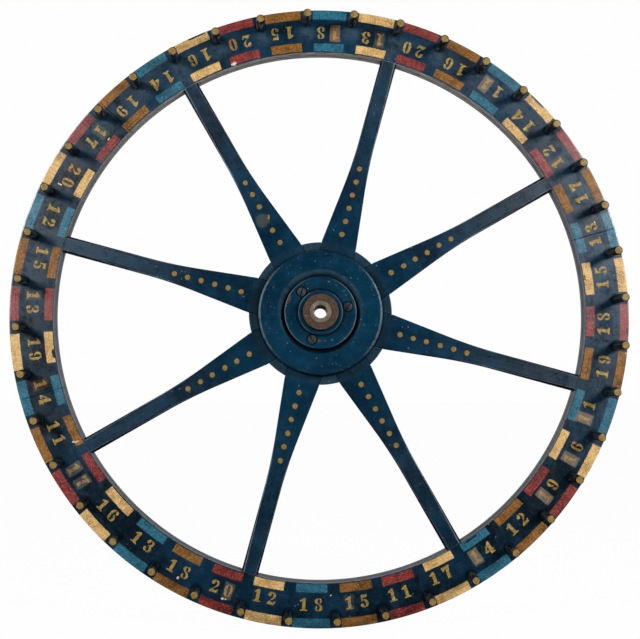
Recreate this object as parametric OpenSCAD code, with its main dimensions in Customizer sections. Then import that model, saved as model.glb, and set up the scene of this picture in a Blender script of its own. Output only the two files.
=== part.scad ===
// Carnival game wheel: a painted wooden wheel with a ring of pegs, which turns on a steel axle sleeve.
// Each piece is drawn with the wheel facing +Z and its first spoke along +X.
// The whole wheel is then turned to its rest angle and stood upright, facing -Y.

/* [Rim] */
// Outside diameter of the rim
rim_d = 914.4; // [800:0.1:1100]
// Width of the rim, from its inside edge to its outside edge
rim_w = 65.5; // [56:0.5:80]
// Thickness of each of the rim's two layers
layer_t = 12; // [10:0.5:16]
// Felloes in each layer
felloe_count = 6; // [4:1:8]
// Angle from the first spoke to a joint of the front layer
front_joint_turn = 46.4; // [0:0.1:60]
// Corner worn off along the edges of the rim
rim_arris = 1.2; // [0.5:0.1:2.5]
// Width of a glue line between two wooden pieces
glue_gap = 0.2; // [0.1:0.05:0.3]

/* [Pegs] */
// Number of pegs round the rim
peg_count = 40; // [24:1:48]
// Diameter of a peg
peg_d = 12.7; // [10:0.1:16]
// Distance from the rim's outside edge to the middle of a peg
peg_inset = 18.2; // [16:0.1:22]
// Length of a peg in front of the rim
peg_proud = 40; // [25:1:60]
// Depth of a peg in the rim
peg_seat = 18; // [15:0.5:19]
// Bevel round the end of a peg
peg_bevel = 0.8; // [0.3:0.1:2]
// Clearance all round a peg in its hole
peg_clear = 0.05; // [0.02:0.01:0.1]

/* [Spokes] */
// Number of spokes
spoke_count = 8; // [6:1:9]
// Thickness of a spoke
spoke_t = 18; // [15:0.5:22]
// Width of a spoke at the rim
spoke_w = 22.4; // [18:0.2:28]
// Width of a spoke at the hub
root_w = 52; // [42:0.5:56]
// Length over which a spoke widens towards the hub
flare_len = 110; // [80:1:150]
// Stretch at the thin end of the flare that bends into the straight spoke
flare_blend = 40; // [20:1:60]
// Bevel along a spoke's edges where it meets the rim, running out to nothing at the flare
spoke_bevel = 3.6; // [1:0.1:5]
// Length of the tenon in the rim
tenon_len = 32; // [20:1:34]
// Thickness of the tenon
tenon_t = 8; // [6:0.5:10]
// Clearance all round a tenon in its mortise
tenon_clear = 0.15; // [0.05:0.05:0.3]

/* [Hub wood] */
// Diameter of the ring of spoke ends and fillers
hub_ring_d = 211; // [198:1:230]
// Diameter of the turned front disc
front_disc_d = 182; // [160:1:190]
// Thickness of the front disc
front_disc_t = 15; // [13:0.5:20]
// Radius of the front disc's rounded edge
disc_round = 3; // [2:0.5:6]
// Room all round the iron flange in the recess of the front disc
recess_gap = 3; // [1:0.5:10]
// Depth of that recess
recess_depth = 8; // [5:0.5:9]
// Radius of the rounded lip of the recess
lip_round = 6; // [1:0.5:7]
// Diameter of the plain disc at the back
rear_disc_d = 180; // [160:1:190]
// Thickness of the back disc
rear_disc_t = 12; // [10:0.5:16]

/* [Hub iron] */
// Diameter of the front flange
flange_d = 106; // [100:1:110]
// Thickness of the front flange's plate
flange_t = 6.5; // [5.5:0.1:8]
// Bevel round the edge of a flange
flange_bevel = 1.2; // [0.5:0.1:2]
// Diameter of the collar on the front flange
collar_d = 65; // [60:0.5:66]
// Height of the collar
collar_h = 5; // [3:0.5:8]
// Rise of the sloping shoulder at the foot of the collar
collar_slope = 2; // [1:0.1:2.5]
// Diameter of the boss
boss_d = 52; // [50:0.5:56]
// Length of the boss in front of the collar
boss_len = 15; // [10:0.5:25]
// Bevel round the edges of the boss and the collar
boss_bevel = 1; // [0.5:0.1:2]
// Diameter of the barrel that runs through the wood
barrel_d = 48; // [44:0.5:50]
// Clearance all round the barrel
barrel_clear = 0.3; // [0.1:0.05:0.5]
// Length of the barrel behind the rear flange
barrel_proud = 2; // [1:0.5:6]
// Diameter of the rear flange
rear_flange_d = 106; // [100:1:120]
// Thickness of the rear flange
rear_flange_t = 6; // [5.5:0.1:8]

/* [Axle sleeve] */
// Diameter of the hole for the spindle
bore_d = 19.05; // [12:0.05:25]
// Outside diameter of the sleeve
sleeve_d = 31.75; // [28:0.05:38]
// Length of the sleeve in front of the boss, and behind the barrel
sleeve_proud = 0.5; // [0.2:0.1:3]
// Bevel in the mouths of the sleeve
sleeve_bevel = 1; // [0.5:0.1:2]
// Running clearance between the sleeve and the front flange
run_clear = 0.05; // [0.02:0.01:0.1]

/* [Flange screws] */
// Screws in each flange
screw_count = 3; // [3:1:6]
// Diameter of the circle of screws
screw_circle_d = 82.4; // [81:0.2:86]
// Diameter of a screw's head
screw_head_d = 13.2; // [10:0.2:13.6]
// Diameter of a screw's shank
screw_d = 4.2; // [3.5:0.1:4.8]
// Length of a screw
screw_len = 28; // [20:1:30]
// Width of the slot in a screw's head
slot_w = 1.4; // [0.8:0.1:2]
// Depth of the slot
slot_depth = 1.5; // [0.8:0.1:2]
// Clearance all round a screw
screw_clear = 0.05; // [0.02:0.01:0.1]
// Angle from the first spoke to the first front screw
front_screw_turn = -17.5; // [-18:0.5:-10]
// Angle from the first spoke to the first rear screw
rear_screw_turn = 42.5; // [38:0.5:50]
// Turn of the slot from each screw to the next
slot_step = 77; // [0:1:90]

/* [Pose] */
// Angle of the first spoke above +X at rest
rest_turn = 29.8; // [0:0.1:90]

/* [Hidden] */
$fn = 96;

// Cuts run this far past the faces that they open
over = 1;

// Radii of the rim, with the two layers meeting at z = 0
rim_r = rim_d / 2;
rim_inner_r = rim_r - rim_w;
rim_mid_r = rim_r - rim_w / 2;
felloe_step = 360 / felloe_count;
glue_turn = glue_gap / rim_mid_r * 180 / PI;
peg_step = 360 / peg_count;
peg_pitch_r = rim_r - peg_inset;
peg_hole_r = peg_d / 2 + peg_clear;

// Spokes, with their front faces level with the rim's
spoke_step = 360 / spoke_count;
spoke_front_z = layer_t;
spoke_back_z = spoke_front_z - spoke_t;
shoulder_r = rim_inner_r - glue_gap;
tenon_end_r = rim_inner_r + tenon_len;
hub_ring_r = hub_ring_d / 2;
flare_end_r = hub_ring_r + flare_len;
mitre_turn = spoke_step / 2;

// Levels of the hub, from front to back
disc_front_z = spoke_front_z + front_disc_t;
plate_back_z = disc_front_z - recess_depth;
plate_front_z = plate_back_z + flange_t;
collar_z = plate_front_z + collar_h;
boss_end_z = collar_z + boss_len;
rear_disc_z = spoke_back_z - rear_disc_t;
rear_flange_z = rear_disc_z - rear_flange_t;
barrel_end_z = rear_flange_z - barrel_proud;
sleeve_front_z = boss_end_z + sleeve_proud;
sleeve_back_z = barrel_end_z - sleeve_proud;

// Radii of the hub
recess_r = flange_d / 2 + recess_gap;
hub_hole_r = barrel_d / 2 + barrel_clear;
flange_bore_r = sleeve_d / 2 + run_clear;
screw_circle_r = screw_circle_d / 2;
screw_step = 360 / screw_count;
head_depth = (screw_head_d - screw_d) / 2;

// Paint and metal
navy = "#0b2f4a";
ochre = "#b08a3c";
rust = "#5d493c";
steel = "#6a6050";

// Stands the wheel upright at its rest angle
module upright() {
    rotate([90, 0, 0])
        rotate([0, 0, rest_turn])
            children();
}

// Angle brought into the range from 0 to 360
function whole_turn(a) = ((a % 360) + 360) % 360;

// Angles of a ring of features that a felloe reaches, with a margin past its ends
function angles_on(start, step, count, margin) = [
    for (i = [0:count - 1])
        if (whole_turn(i * step - start + margin) < felloe_step + 2 * margin) i * step
];

// Section of a rim layer that lies on z = 0, with its outer corners worn off
module layer_section() {
    polygon([
        [rim_inner_r, 0],
        [rim_r, 0],
        [rim_r, layer_t - rim_arris],
        [rim_r - rim_arris, layer_t],
        [rim_inner_r + rim_arris, layer_t],
        [rim_inner_r, layer_t - rim_arris]
    ]);
}

// Mortise that a spoke's tenon fills, half in each layer
module mortise() {
    half_w = spoke_w / 2 + tenon_clear;
    half_t = tenon_t / 2 + tenon_clear;
    translate([rim_inner_r - rim_w / 2, -half_w, -half_t])
        cube([rim_w / 2 + tenon_len + tenon_clear, 2 * half_w, 2 * half_t]);
}

// Blind hole for one peg, from the rim's face
module peg_hole() {
    translate([peg_pitch_r, 0, layer_t - peg_seat])
        cylinder(r = peg_hole_r, h = peg_seat + over);
}

// One felloe whose first end is at an angle, with its share of mortises and peg holes
module felloe(start, face) {
    mortise_margin = asin((spoke_w / 2 + tenon_clear) / rim_inner_r);
    peg_margin = asin(peg_hole_r / peg_pitch_r);
    difference() {
        rotate([0, 0, start + glue_turn / 2])
            mirror([0, 0, face < 0 ? 1 : 0])
                rotate_extrude(angle = felloe_step - glue_turn)
                    layer_section();
        for (a = angles_on(start, spoke_step, spoke_count, mortise_margin))
            rotate([0, 0, a]) mortise();
        for (a = angles_on(start, peg_step, peg_count, peg_margin))
            rotate([0, 0, a]) peg_hole();
    }
}

module front_felloe(i) {
    color(navy) upright() felloe(front_joint_turn + i * felloe_step, 1);
}

// The back layer's joints fall half way between those of the front layer
module rear_felloe(i) {
    color(navy) upright() felloe(front_joint_turn + (i + 0.5) * felloe_step, -1);
}

// One peg, standing on the floor of its hole
module peg() {
    peg_len = peg_seat + peg_proud;
    translate([peg_pitch_r, 0, layer_t - peg_seat])
        rotate_extrude()
            polygon([
                [0, 0],
                [peg_d / 2, 0],
                [peg_d / 2, peg_len - peg_bevel],
                [peg_d / 2 - peg_bevel, peg_len],
                [0, peg_len]
            ]);
}

module pegs() {
    color(ochre) upright()
        for (k = [0:peg_count - 1])
            rotate([0, 0, k * peg_step]) peg();
}

// Point at t on the curve that eases the flare into the straight spoke
function blend_point(t, a, b, c) = (1 - t) * (1 - t) * a + 2 * t * (1 - t) * b + t * t * c;

// Upper edge of a spoke, from the mitre in the hub to past the rim's inside edge
function spoke_edge() =
    let (
        root = root_w / 2,
        thin = spoke_w / 2,
        slope = (root - thin) / flare_len,
        start = [flare_end_r - flare_blend, thin + slope * flare_blend],
        bend = [flare_end_r, thin],
        end = [flare_end_r + flare_blend, thin]
    )
    concat(
        [[(root - glue_gap / 2) / tan(mitre_turn), root - glue_gap / 2]],
        [[hub_ring_r, root]],
        [for (t = [0:0.25:1]) blend_point(t, start, bend, end)],
        [[rim_mid_r, thin]]
    );

// Outline of a spoke, with its shoulder rounded to the rim and its mitred end clear of the barrel
module spoke_outline() {
    edge = spoke_edge();
    last = len(edge) - 1;
    tip = [[glue_gap / 2 / sin(mitre_turn), 0]];
    lower = [for (i = [last:-1:0]) [edge[i].x, -edge[i].y]];
    difference() {
        intersection() {
            polygon(concat(tip, edge, lower));
            circle(r = shoulder_r);
        }
        circle(r = hub_hole_r);
    }
}

// Wedge that bevels one front edge of a spoke, from nothing at the flare to its full width at the rim
module edge_bevel() {
    bevel_start = flare_end_r + flare_blend;
    run = shoulder_r - bevel_start;
    fall = spoke_bevel / sqrt(2);
    reach = spoke_w;
    translate([bevel_start, spoke_w / 2, spoke_front_z])
        rotate([-45, 0, 0])
            rotate([0, atan(fall / run), 0])
                translate([0, -reach / 2, 0])
                    cube([run + reach, reach, reach]);
}

// One spoke along +X, with its tenon on the joint between the layers
module spoke_body() {
    root_r = shoulder_r - tenon_t;
    difference() {
        translate([0, 0, spoke_back_z])
            linear_extrude(spoke_t) spoke_outline();
        for (side = [0, 1])
            mirror([0, side, 0]) edge_bevel();
    }
    translate([root_r, -spoke_w / 2, -tenon_t / 2])
        cube([tenon_end_r - root_r, spoke_w, tenon_t]);
}

module spoke(i) {
    color(navy) upright()
        difference() {
            rotate([0, 0, i * spoke_step]) spoke_body();
            flange_screw_holes(front_screw_turn, 1);
            flange_screw_holes(rear_screw_turn, -1);
        }
}

// Wooden wedge that fills the hub ring between two spokes
module hub_filler(i) {
    tip_r = (root_w / 2 + glue_gap) / sin(mitre_turn);
    far_x = tip_r + hub_ring_r * cos(mitre_turn);
    far_y = hub_ring_r * sin(mitre_turn);
    color(navy) upright()
        rotate([0, 0, (i + 0.5) * spoke_step])
            translate([0, 0, spoke_back_z])
                linear_extrude(spoke_t)
                    intersection() {
                        polygon([[tip_r, 0], [far_x, -far_y], [far_x, far_y]]);
                        circle(r = hub_ring_r);
                    }
}

// Round slab with one rounded edge at its front
module turned_disc(r, t, edge) {
    rotate_extrude() {
        square([r, t - edge]);
        square([r - edge, t]);
        translate([r - edge, t - edge]) circle(r = edge);
    }
}

// Recess with a rounded lip, cut down from z = 0
module lipped_recess(r, depth, lip) {
    rotate_extrude() {
        translate([0, -depth]) square([r, depth + over]);
        difference() {
            translate([r - over, -lip]) square([lip + over, lip + over]);
            translate([r + lip, -lip]) circle(r = lip);
            translate([r + lip, -lip]) square([over, lip + 2 * over]);
        }
    }
}

module front_hub_disc() {
    color(navy) upright()
        difference() {
            translate([0, 0, spoke_front_z])
                turned_disc(front_disc_d / 2, front_disc_t, disc_round);
            translate([0, 0, disc_front_z])
                lipped_recess(recess_r, recess_depth, min(lip_round, recess_depth));
            translate([0, 0, spoke_front_z - over])
                cylinder(r = hub_hole_r, h = front_disc_t + 2 * over);
            flange_screw_holes(front_screw_turn, 1);
        }
}

module rear_hub_disc() {
    color(navy) upright()
        difference() {
            translate([0, 0, spoke_back_z])
                mirror([0, 0, 1]) turned_disc(rear_disc_d / 2, rear_disc_t, disc_round);
            translate([0, 0, rear_disc_z - over])
                cylinder(r = hub_hole_r, h = rear_disc_t + 2 * over);
            flange_screw_holes(rear_screw_turn, -1);
        }
}

// Countersunk wood screw that points down from z = 0, larger all round by a margin
module screw_form(margin) {
    head_r = screw_head_d / 2 + margin;
    shank_r = screw_d / 2 + margin;
    rotate_extrude()
        polygon([
            [0, 0],
            [head_r, 0],
            [shank_r, -head_depth],
            [shank_r, screw_d - screw_len],
            [0, -screw_len - margin]
        ]);
}

// Puts a child on the circle of screws at an angle, pointing back from the front flange or forward
// from the rear one
module at_screw(turn, face) {
    rotate([0, 0, turn])
        translate([screw_circle_r, 0, face > 0 ? plate_front_z : rear_flange_z])
            mirror([0, 0, face > 0 ? 0 : 1])
                children();
}

// Holes for all the screws of one flange, open above their heads
module flange_screw_holes(turn, face) {
    for (k = [0:screw_count - 1])
        at_screw(turn + k * screw_step, face) {
            screw_form(screw_clear);
            cylinder(r = screw_head_d / 2 + screw_clear, h = collar_slope + over);
        }
}

// All the screws of one flange, with their slots left at different angles
module flange_screws(turn, face) {
    for (k = [0:screw_count - 1])
        at_screw(turn + k * screw_step, face)
            difference() {
                screw_form(0);
                rotate([0, 0, k * slot_step])
                    translate([-screw_head_d, -slot_w / 2, -slot_depth])
                        cube([2 * screw_head_d, slot_w, slot_depth + over]);
            }
}

module front_flange_screws() {
    color(rust) upright() flange_screws(front_screw_turn, 1);
}

module rear_flange_screws() {
    color(rust) upright() flange_screws(rear_screw_turn, -1);
}

// Iron casting: plate, collar and boss in front, and a barrel through the wood behind
module front_flange() {
    plate_r = flange_d / 2;
    collar_r = collar_d / 2;
    boss_r = boss_d / 2;
    color(rust) upright()
        difference() {
            rotate_extrude()
                polygon([
                    [flange_bore_r, barrel_end_z],
                    [barrel_d / 2, barrel_end_z],
                    [barrel_d / 2, plate_back_z],
                    [plate_r, plate_back_z],
                    [plate_r, plate_front_z - flange_bevel],
                    [plate_r - flange_bevel, plate_front_z],
                    [collar_r + collar_slope, plate_front_z],
                    [collar_r, plate_front_z + collar_slope],
                    [collar_r, collar_z - boss_bevel],
                    [collar_r - boss_bevel, collar_z],
                    [boss_r, collar_z],
                    [boss_r, boss_end_z - boss_bevel],
                    [boss_r - boss_bevel, boss_end_z],
                    [flange_bore_r, boss_end_z]
                ]);
            flange_screw_holes(front_screw_turn, 1);
        }
}

module rear_flange() {
    plate_r = rear_flange_d / 2;
    color(rust) upright()
        difference() {
            rotate_extrude()
                polygon([
                    [hub_hole_r, rear_flange_z],
                    [plate_r - flange_bevel, rear_flange_z],
                    [plate_r, rear_flange_z + flange_bevel],
                    [plate_r, rear_disc_z],
                    [hub_hole_r, rear_disc_z]
                ]);
            flange_screw_holes(rear_screw_turn, -1);
        }
}

// Still sleeve that is clamped on the spindle and carries the turning hub
module axle_sleeve() {
    bore_r = bore_d / 2;
    color(steel) upright()
        rotate_extrude()
            polygon([
                [bore_r, sleeve_back_z + sleeve_bevel],
                [bore_r + sleeve_bevel, sleeve_back_z],
                [sleeve_d / 2, sleeve_back_z],
                [sleeve_d / 2, sleeve_front_z],
                [bore_r + sleeve_bevel, sleeve_front_z],
                [bore_r, sleeve_front_z - sleeve_bevel]
            ]);
}

axle_sleeve();
front_flange();
rear_flange();
front_flange_screws();
rear_flange_screws();
front_hub_disc();
rear_hub_disc();
for (i = [0:spoke_count - 1]) {
    spoke(i);
    hub_filler(i);
}
for (i = [0:felloe_count - 1]) {
    front_felloe(i);
    rear_felloe(i);
}
pegs();
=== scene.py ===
import math
import random

import bmesh
import bpy
from mathutils import Matrix, Vector


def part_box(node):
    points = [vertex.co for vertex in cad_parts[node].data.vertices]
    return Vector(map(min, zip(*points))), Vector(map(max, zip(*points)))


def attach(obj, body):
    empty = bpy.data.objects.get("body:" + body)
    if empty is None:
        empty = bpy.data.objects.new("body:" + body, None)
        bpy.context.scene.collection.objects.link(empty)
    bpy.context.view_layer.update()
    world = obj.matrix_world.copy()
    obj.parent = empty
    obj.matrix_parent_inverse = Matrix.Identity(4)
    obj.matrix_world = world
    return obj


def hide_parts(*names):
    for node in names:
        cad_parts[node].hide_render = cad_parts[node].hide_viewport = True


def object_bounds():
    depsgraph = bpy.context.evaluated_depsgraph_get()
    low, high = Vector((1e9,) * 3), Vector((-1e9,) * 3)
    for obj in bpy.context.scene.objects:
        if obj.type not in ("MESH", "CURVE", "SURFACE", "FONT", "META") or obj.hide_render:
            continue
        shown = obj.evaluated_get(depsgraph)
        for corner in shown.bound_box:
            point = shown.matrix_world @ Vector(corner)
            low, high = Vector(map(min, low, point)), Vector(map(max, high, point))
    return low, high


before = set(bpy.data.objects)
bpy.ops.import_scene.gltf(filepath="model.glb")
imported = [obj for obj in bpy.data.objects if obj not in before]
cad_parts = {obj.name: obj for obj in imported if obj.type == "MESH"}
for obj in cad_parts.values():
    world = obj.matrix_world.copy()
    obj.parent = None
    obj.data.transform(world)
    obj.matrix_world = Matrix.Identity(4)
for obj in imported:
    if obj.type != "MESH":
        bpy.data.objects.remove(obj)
cadLow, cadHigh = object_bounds()
scene = bpy.context.scene
scene.view_settings.view_transform = "Standard"
dice = random.Random(1936)

# What the frame gives: y runs from the front of the wheel to its back
restTurn = math.radians(29.8)  # the first spoke above +X
rimRadius = cadHigh.x
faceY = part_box("front_felloe_1")[0].y
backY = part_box("rear_felloe_1")[1].y
places = 40  # one number between two pegs
placeAngle = 2 * math.pi / places
upright = (math.pi / 2, 0, 0)  # the turn that makes a flat shape face along y
smoothAngle = math.radians(35)  # sharper edges than this stay sharp
support = 0.0025  # a ring of mesh this far beside each rounded edge keeps its wear close to it


def tint(code, alpha=1.0):
    # colour written as on screen, given to the shader as linear light
    parts = [int(code[i:i + 2], 16) / 255 for i in (1, 3, 5)]
    return tuple(c / 12.92 if c < 0.04045 else ((c + 0.055) / 1.055) ** 2.4 for c in parts) + (alpha,)


def onWheel(radius, degrees, y):
    # a point by its radius and its turn from the first spoke
    angle = math.radians(degrees) + restTurn
    return Vector((radius * math.cos(angle), y, radius * math.sin(angle)))


def clamp(value):
    return min(max(value, 0), 1)


# Modelling tools

def choose(*pieces):
    if bpy.context.mode != "OBJECT":
        bpy.ops.object.mode_set(mode="OBJECT")
    bpy.ops.object.select_all(action="DESELECT")
    for piece in pieces:
        piece.select_set(True)
    bpy.context.view_layer.objects.active = pieces[-1]


def settle(piece):
    # puts the place of an object into its mesh
    choose(piece)
    bpy.ops.object.transform_apply(location=True, rotation=True, scale=True)
    return piece


def pickAll():
    bpy.ops.mesh.select_all(action="SELECT")


def edit(piece):
    choose(piece)
    bpy.ops.object.mode_set(mode="EDIT")
    bpy.ops.mesh.select_mode(type="VERT")
    pickAll()
    return piece


def addShape(kind, scale=(1, 1, 1), **settings):
    # a plane, circle, cylinder or cube, with its size and place put into its mesh
    bpy.ops.object.select_all(action="DESELECT")
    getattr(bpy.ops.mesh, f"primitive_{kind}_add")(**settings)
    piece = bpy.context.active_object
    piece.scale = scale
    return settle(piece)


def startDisc(spot, radius, sides, scale=(1, 1, 1), fill="NGON"):
    # a disc that faces along y, open for editing
    return edit(addShape("circle", scale, vertices=sides, radius=radius, fill_type=fill, location=spot,
                         rotation=upright))


def pick(piece, kind, test):
    # selects only the verts, edges or faces that pass a test
    bpy.ops.mesh.select_mode(type={"verts": "VERT", "edges": "EDGE", "faces": "FACE"}[kind])
    bpy.ops.mesh.select_all(action="DESELECT")
    mesh = bmesh.from_edit_mesh(piece.data)
    for item in [item for item in getattr(mesh, kind) if test(item)]:
        item.select_set(True)
    mesh.select_flush_mode()
    bmesh.update_edit_mesh(piece.data)


def near(a, b, slack=2e-5):
    return abs(a - b) < slack


def axisRadius(point):
    return math.hypot(point.x, point.z)


def onRing(edge, radius, y):
    return all(near(axisRadius(v.co), radius) and near(v.co.y, y) for v in edge.verts)


def atDepth(edge, y):
    return all(near(v.co.y, y) for v in edge.verts)


def markPicked(piece, name, value=1.0):
    # keeps what is selected in an attribute for the materials
    mesh = bmesh.from_edit_mesh(piece.data)
    layer = mesh.verts.layers.float.get(name) or mesh.verts.layers.float.new(name)
    for v in mesh.verts:
        if v.select:
            v[layer] = value
    bmesh.update_edit_mesh(piece.data)


def pull(*way):
    # extrudes what is selected
    bpy.ops.mesh.extrude_region_move(TRANSFORM_OT_translate={"value": way})


def bevelEdges(piece, size, segments, test, mark=None):
    # rounds off the edges that pass a test, and marks them for the materials
    pick(piece, "edges", test)
    bpy.ops.mesh.bevel(offset=size, segments=segments, affect="EDGES")
    if mark:
        markPicked(piece, mark)


def faceOut():
    pickAll()
    bpy.ops.mesh.normals_make_consistent(inside=False)


def weld():
    pickAll()
    bpy.ops.mesh.remove_doubles(threshold=2e-6)
    faceOut()


def tidyMesh(piece):
    weld()
    bpy.ops.object.mode_set(mode="OBJECT")
    return piece


def fillEnds(piece, *tests):
    for test in tests:
        pick(piece, "edges", lambda e: e.is_boundary and all(test(v.co) for v in e.verts))
        bpy.ops.mesh.edge_face_add()


def copyPiece(piece, matrix):
    # a copy with its own mesh, moved by a matrix
    choose(piece)
    bpy.ops.object.duplicate()
    copy = bpy.context.active_object
    copy.matrix_world = matrix
    return settle(copy)


def copyTurned(piece, degrees):
    # a copy set round the wheel, with its degrees counted from the first spoke
    return copyPiece(piece, Matrix.Rotation(-restTurn - math.radians(degrees), 4, "Y"))


def dress(piece, name, material, node=None, body="wheel"):
    piece.name = name
    piece.data.name = name
    piece.data.materials.clear()
    piece.data.materials.append(material)
    choose(piece)
    bpy.ops.object.shade_smooth_by_angle(angle=smoothAngle)
    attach(piece, body)
    if node:
        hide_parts(node)


def joinAll(pieces):
    choose(*pieces)
    bpy.ops.object.join()
    return bpy.context.active_object


def withSupports(outline):
    # adds a ring on both sides of each rounded corner
    points = []
    for i, point in enumerate(outline):
        before, after = outline[i - 1], outline[(i + 1) % len(outline)]
        for other in (before, None, after):
            if other is None:
                points.append(point)
            elif len(point) > 2:
                run = Vector(other[:2]) - Vector(point[:2])
                length = point[2] + support
                if run.length > length + support + (other[2] if len(other) > 2 else 0):
                    points.append(tuple(Vector(point[:2]) + run.normalized() * length))
    return points


def turnPiece(outline, sides):
    # turns (radius, y) points about the axle, with a rounding as each point's third value
    outline = withSupports(outline)
    radius, y = outline[0][:2]
    piece = startDisc((0, y, 0), radius, sides, fill="NOTHING")
    for point in outline[1:] + outline[:1]:
        pull(0, point[1] - y, 0)
        grow = point[0] / radius
        bpy.ops.transform.resize(value=(grow, 1, grow), center_override=(0, point[1], 0))
        radius, y = point[:2]
    weld()
    for point in outline:
        if len(point) > 2:
            bevelEdges(piece, point[2], 4, lambda e: onRing(e, *point[:2]), "edge")
    return tidyMesh(piece)


# Shader tools

class Wire:
    # one shader socket, so that sums on it read as sums
    def __init__(self, tree, socket=None):
        self.tree = tree
        self.socket = socket

    def node(self, kind, settings=None, inputs=None, out=0):
        made = self.tree.nodes.new(kind)
        for name, value in (settings or {}).items():
            if name == "stops":
                ramp = made.color_ramp.elements
                while len(ramp) < len(value):
                    ramp.new(0.5)
                for stop, (position, colour) in zip(ramp, value):
                    stop.position = position
                    stop.color = colour
            elif name == "interpolation" and kind == "ShaderNodeValToRGB":
                made.color_ramp.interpolation = value
            else:
                setattr(made, name, value)
        for name, value in (inputs or {}).items():
            if isinstance(value, Wire):
                self.tree.links.new(value.socket, made.inputs[name])
            else:
                made.inputs[name].default_value = value
        return Wire(self.tree, made.outputs[out]) if made.outputs else None

    def other(self, out):
        return Wire(self.tree, self.socket.node.outputs[out])

    def maths(self, operation, *values):
        return self.node("ShaderNodeMath", {"operation": operation}, dict(enumerate((self,) + values)))

    def __add__(self, other):
        return self.maths("ADD", other)

    __radd__ = __add__

    def __sub__(self, other):
        return self.maths("SUBTRACT", other)

    def __rsub__(self, other):
        return self.node("ShaderNodeMath", {"operation": "SUBTRACT"}, {0: other, 1: self})

    def __mul__(self, other):
        return self.maths("MULTIPLY", other)

    __rmul__ = __mul__

    def __truediv__(self, other):
        return self.maths("DIVIDE", other)

    def __mod__(self, other):
        return self.maths("FLOORED_MODULO", other)

    def __abs__(self):
        return self.maths("ABSOLUTE")

    def floor(self):
        return self.maths("FLOOR")

    def least(self, *others):
        found = self
        for other in others:
            found = found.maths("MINIMUM", other)
        return found

    def most(self, *others):
        found = self
        for other in others:
            found = found.maths("MAXIMUM", other)
        return found

    def ease(self, low, high):
        # 0 up to low and 1 from high on, or the other way round where low is the larger
        return self.node("ShaderNodeMapRange", {"interpolation_type": "SMOOTHSTEP"},
                         {"Value": self, "From Min": low, "From Max": high})

    def mix(self, first, second):
        # this value takes the first colour over into the second
        return self.node("ShaderNodeMix", {"data_type": "RGBA"}, {0: self, 6: first, 7: second}, 2)

    def over(self, colour, code):
        # lays a flat tone on a colour as far as this value goes
        return self.mix(colour, tint(navyTones.get(code, code)))

    def far(self, other):
        # the distance that two steps at right angles make
        return (self * self + other * other).maths("SQRT")

    def split(self):
        x = self.node("ShaderNodeSeparateXYZ", {}, {0: self})
        return x, x.other(1), x.other(2)

    def vector(self, x, y, z):
        return self.node("ShaderNodeCombineXYZ", {}, {0: x, 1: y, 2: z})

    def noise(self, scale, detail=2.0, rough=0.5):
        return self.node("ShaderNodeTexNoise", {}, {"Vector": self, "Scale": scale, "Detail": detail,
                                                    "Roughness": rough})

    def cells(self, scale, feature="F1", out="Distance"):
        return self.node("ShaderNodeTexVoronoi", {"feature": feature}, {"Vector": self, "Scale": scale}, out)

    def chance(self):
        # three random numbers that belong to a whole number
        found = self.node("ShaderNodeTexWhiteNoise", {"noise_dimensions": "1D"}, {"W": self}, "Color")
        return found.split()

    def attribute(self, name, out="Fac"):
        return self.node("ShaderNodeAttribute", {"attribute_name": name}, {}, out)

    def ragged(self, name, scale, amount, low, high, detail=4, out="Fac"):
        # a mark on the mesh, with its border broken up by noise
        border = (self.noise(scale, detail, 0.7) - 0.5) * amount
        return (self.attribute(name, out) + border).ease(low, high)


def startMaterial(name):
    material = bpy.data.materials.new(name)
    material.use_nodes = True
    material.node_tree.nodes.clear()
    start = Wire(material.node_tree)
    return material, start.node("ShaderNodeTexCoord", out="Object")


def polar(place):
    # a place as x, y and z, with its distance and its turn about the axle
    x, y, z = place.split()
    return x, y, z, x.far(z), z.maths("ARCTAN2", x)


def finishMaterial(place, colour, rough, height, depth, metal=0.0, gloss=None):
    # one shader for the surface, with its fine relief; gloss is how much varnish is left on the paint
    bump = place.node("ShaderNodeBump", {}, {"Height": height, "Distance": depth, "Strength": 1.0})
    sockets = {"Base Color": colour, "Roughness": rough, "Metallic": metal, "Normal": bump}
    if gloss:
        sockets.update({"Coat Weight": gloss, "Coat Roughness": navyTones["coat"], "Coat IOR": 1.78,
                        "Specular IOR Level": 0.14, "Specular Tint": (0.3, 0.7, 1.0, 1.0)})
    shader = place.node("ShaderNodeBsdfPrincipled", {}, sockets)
    place.node("ShaderNodeOutputMaterial", {}, {"Surface": shader})


# Camera, light and floor

view = dict(place=(-0.0208, -1.494, -0.1067), aim=(0.01358, 0.99778, 0.06556), lens=56.67, sensor=36)
bpy.ops.object.select_all(action="DESELECT")
bpy.ops.object.camera_add(location=view["place"])
camera = bpy.context.active_object
camera.rotation_euler = Vector(view["aim"]).to_track_quat("-Z", "Y").to_euler()
camera.data.sensor_fit = "HORIZONTAL"
camera.data.sensor_width = view["sensor"]
camera.data.lens = view["lens"]
scene.camera = camera

softBoxes = dict(
    sides={"boxLeft": -1, "boxRight": 1}, powers={"boxLeft": 29, "boxRight": 36},
    azimuth=47, elevation=17.3, distance=2.3, width=0.5, height=0.6,
)
for name, side in softBoxes["sides"].items():
    across = math.radians(softBoxes["azimuth"]) * side
    up = math.radians(softBoxes["elevation"])
    towards = Vector((math.sin(across) * math.cos(up), -math.cos(across) * math.cos(up), math.sin(up)))
    bpy.ops.object.light_add(type="AREA", location=towards * softBoxes["distance"])
    lamp = bpy.context.active_object
    lamp.name = name
    lamp.rotation_euler = (-towards).to_track_quat("-Z", "Y").to_euler()
    lamp.data.shape = "RECTANGLE"
    lamp.data.size = softBoxes["width"]
    lamp.data.size_y = softBoxes["height"]
    lamp.data.energy = softBoxes["powers"][name]


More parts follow.
